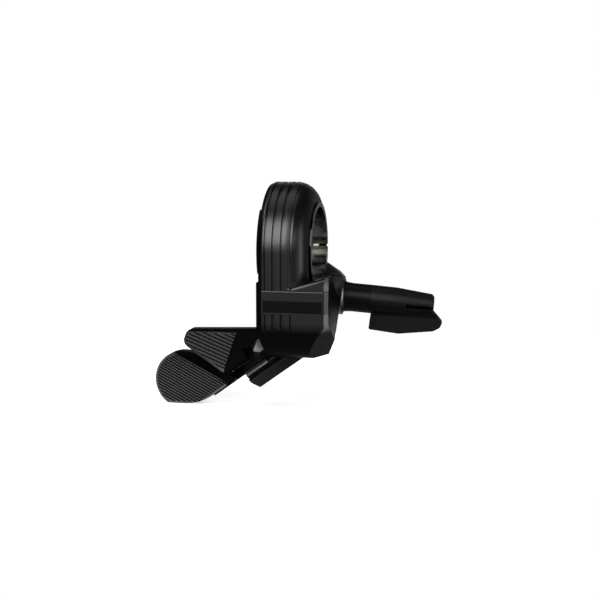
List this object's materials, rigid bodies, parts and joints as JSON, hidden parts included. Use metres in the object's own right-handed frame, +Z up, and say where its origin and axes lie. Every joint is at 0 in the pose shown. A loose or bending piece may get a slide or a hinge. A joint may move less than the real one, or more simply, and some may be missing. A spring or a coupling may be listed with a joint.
{
  "type": "electronic shift switch",
  "caption": "Handlebar electronic shift switch: ribbed ring clamp and switch case in one moulding, stacked thumb levers with ribbed pads, and a side wire port with a finned cover.",
  "frame": {"origin": "centre of the handlebar clamp's bore, in the plane of the lever tails", "axes": "+X along the handlebar towards the wire port, +Y forward and away from the rider, +Z up"},
  "size_m": [0.077, 0.0387, 0.0605],
  "materials": {
    "moulded_black": "fine matte moulding",
    "label_black": "smooth dark inlay",
    "band_black": "black anodised and polished",
    "bright_steel": "plain",
    "seal_rubber": "soft matte",
    "board_green": "board lacquer",
    "switch_shell": "plain",
    "plunger_white": "plain",
    "lever_black": "satin black",
    "pad_grey": "ribbed matte",
    "bush_brass": "plain",
    "port_black": "smooth satin moulding",
    "wire_grey": "plain"
  },
  "bodies": {
    "switch": {"main_housing": "moulded_black", "left_side_cover": "moulded_black", "label_panel": "label_black", "clamp_band": "band_black", "clamp_bolt": "bright_steel", "clamp_nut": "bright_steel", "cover_screws": "bright_steel", "bracket_screws": "bright_steel", "pivot_pin": "bright_steel", "pivot_clip": "bright_steel", "cover_gasket": "seal_rubber", "port_seal": "seal_rubber", "circuit_board": "board_green", "upper_switch": "switch_shell", "lower_switch": "switch_shell", "contact_block": "switch_shell", "lever_washer": "switch_shell", "pivot_bracket": "lever_black", "contact_pins": "bush_brass", "connector_stem": "port_black", "plug_cover": "port_black", "flat_lead": "wire_grey"},
    "upper_lever": {"upper_arm": "lever_black", "upper_bush": "bush_brass", "upper_return_spring": "bright_steel", "upper_paddle": "pad_grey", "upper_pad_screw": "bright_steel"},
    "lower_lever": {"lower_arm": "lever_black", "lower_bush": "bush_brass", "lower_return_spring": "bright_steel", "lower_paddle": "pad_grey", "lower_pad_screw": "bright_steel"},
    "upper_plunger": {"upper_plunger": "plunger_white"},
    "lower_plunger": {"lower_plunger": "plunger_white"}
  },
  "joints": [
    {"name": "upper_lever_hinge", "type": "hinge", "parent": "switch", "child": "upper_lever", "pos_m": [-0.00672, -0.0053, -0.02648], "axis": [0.5878, 0, -0.809], "range_deg": [0, 7], "stiffness_Nm_per_rad": 0.2, "springref_deg": -4.58},
    {"name": "lower_lever_hinge", "type": "hinge", "parent": "switch", "child": "lower_lever", "pos_m": [-0.00672, -0.0053, -0.02648], "axis": [0.5878, 0, -0.809], "range_deg": [0, 7], "stiffness_Nm_per_rad": 0.2, "springref_deg": -4.58},
    {"name": "upper_plunger_slide", "type": "slide", "parent": "switch", "child": "upper_plunger", "axis": [0, -1, 0], "range_m": [0, 0.0011]},
    {"name": "lower_plunger_slide", "type": "slide", "parent": "switch", "child": "lower_plunger", "axis": [0, -1, 0], "range_m": [0, 0.0011]}
  ],
  "couplings": [
    {"joint": "upper_plunger_slide", "follows": "upper_lever_hinge", "m_per_rad": 0.009},
    {"joint": "lower_plunger_slide", "follows": "lower_lever_hinge", "m_per_rad": 0.009}
  ]
}
